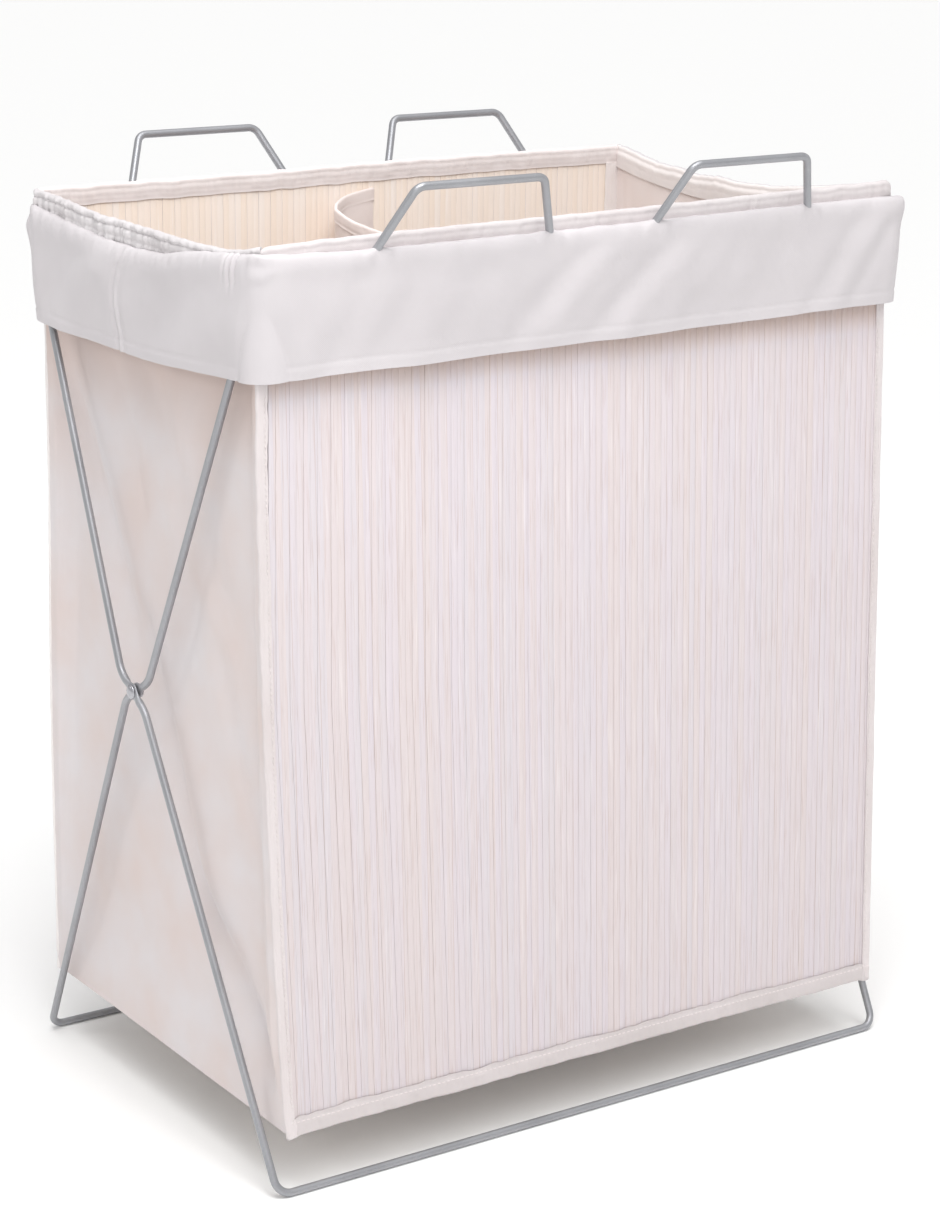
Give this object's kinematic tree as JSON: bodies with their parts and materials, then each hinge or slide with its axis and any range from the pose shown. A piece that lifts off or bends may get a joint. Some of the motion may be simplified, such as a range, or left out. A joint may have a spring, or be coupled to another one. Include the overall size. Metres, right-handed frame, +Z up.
{
  "type": "folding laundry hamper",
  "caption": "Folding two-compartment laundry hamper: a cloth bag with woven slat panels and a cuff, hung on crossed wire frames with handles.",
  "frame": {"origin": "on the floor under the middle of the bag", "axes": "+Z up, +X along the width, -Y towards the front panel"},
  "size_m": [0.6042, 0.4196, 0.7393],
  "materials": {
    "coated_wire": "silver-grey powder coat",
    "rivet": "coated steel",
    "slats": "whitened woven slats",
    "white_cloth": "plain weave",
    "cuff_cloth": "plain weave, double",
    "binding_tape": "folded tape",
    "divider_cloth": "soft plain weave",
    "board_cloth": "cloth over stiff board"
  },
  "bodies": {
    "front_foot_frame": {"front_floor_bar": "coated_wire", "left_outer_leg": "coated_wire", "right_outer_leg": "coated_wire", "rear_rail": "coated_wire", "rear_left_handle": "coated_wire", "rear_right_handle": "coated_wire"},
    "rear_foot_frame": {"rear_floor_bar": "coated_wire", "left_inner_leg": "coated_wire", "right_inner_leg": "coated_wire", "front_rail": "coated_wire", "front_left_handle": "coated_wire", "front_right_handle": "coated_wire"},
    "rivets": {"left_rivet": "rivet", "right_rivet": "rivet"},
    "front_panel": {"front_slats": "slats", "front_edge_tapes": "binding_tape", "front_foot_hem": "white_cloth", "front_rim_hem": "white_cloth", "front_rail_casing": "white_cloth", "front_cuff": "cuff_cloth"},
    "rear_panel": {"rear_slats": "slats", "rear_edge_tapes": "binding_tape", "rear_foot_hem": "white_cloth", "rear_rim_hem": "white_cloth", "rear_rail_casing": "white_cloth", "rear_cuff": "cuff_cloth"},
    "bag": {"left_side_cloth": "white_cloth", "right_side_cloth": "white_cloth", "bottom_board": "board_cloth", "divider": "divider_cloth", "divider_hem": "divider_cloth", "left_rim_band": "white_cloth", "right_rim_band": "white_cloth", "left_cuff": "cuff_cloth", "right_cuff": "cuff_cloth"}
  },
  "joints": [
    {"name": "fold", "type": "hinge", "parent": "front_foot_frame", "child": "rear_foot_frame", "pos_m": [0, 0, 0.344], "axis": [-1, 0, 0], "range_deg": [0, 52.29], "deforming": ["left_side_cloth", "right_side_cloth", "bottom_board", "divider", "divider_hem", "left_rim_band", "right_rim_band", "left_cuff", "right_cuff", "front_cuff", "rear_cuff"]},
    {"name": "rivet_turn", "type": "hinge", "parent": "front_foot_frame", "child": "rivets", "pos_m": [0, 0, 0.344], "axis": [-1, 0, 0], "range_deg": [0, 26.14]},
    {"name": "bag_rise", "type": "slide", "parent": "rivets", "child": "bag", "axis": [0, 0, 1], "range_m": [0, 0.0451]},
    {"name": "rear_panel_swing", "type": "hinge", "parent": "front_foot_frame", "child": "rear_panel", "pos_m": [0, 0.181, 0.684], "axis": [-1, 0, 0], "range_deg": [0, 27.71]},
    {"name": "front_panel_swing", "type": "hinge", "parent": "rear_foot_frame", "child": "front_panel", "pos_m": [0, -0.181, 0.684], "axis": [-1, 0, 0], "range_deg": [-27.71, 0]}
  ],
  "couplings": [
    {"joint": "rivet_turn", "follows": "fold", "ratio": 0.5},
    {"joint": "bag_rise", "follows": "fold", "m_per_rad": 0.04931},
    {"joint": "rear_panel_swing", "follows": "fold", "ratio": 0.52897},
    {"joint": "front_panel_swing", "follows": "fold", "ratio": -0.52897}
  ]
}
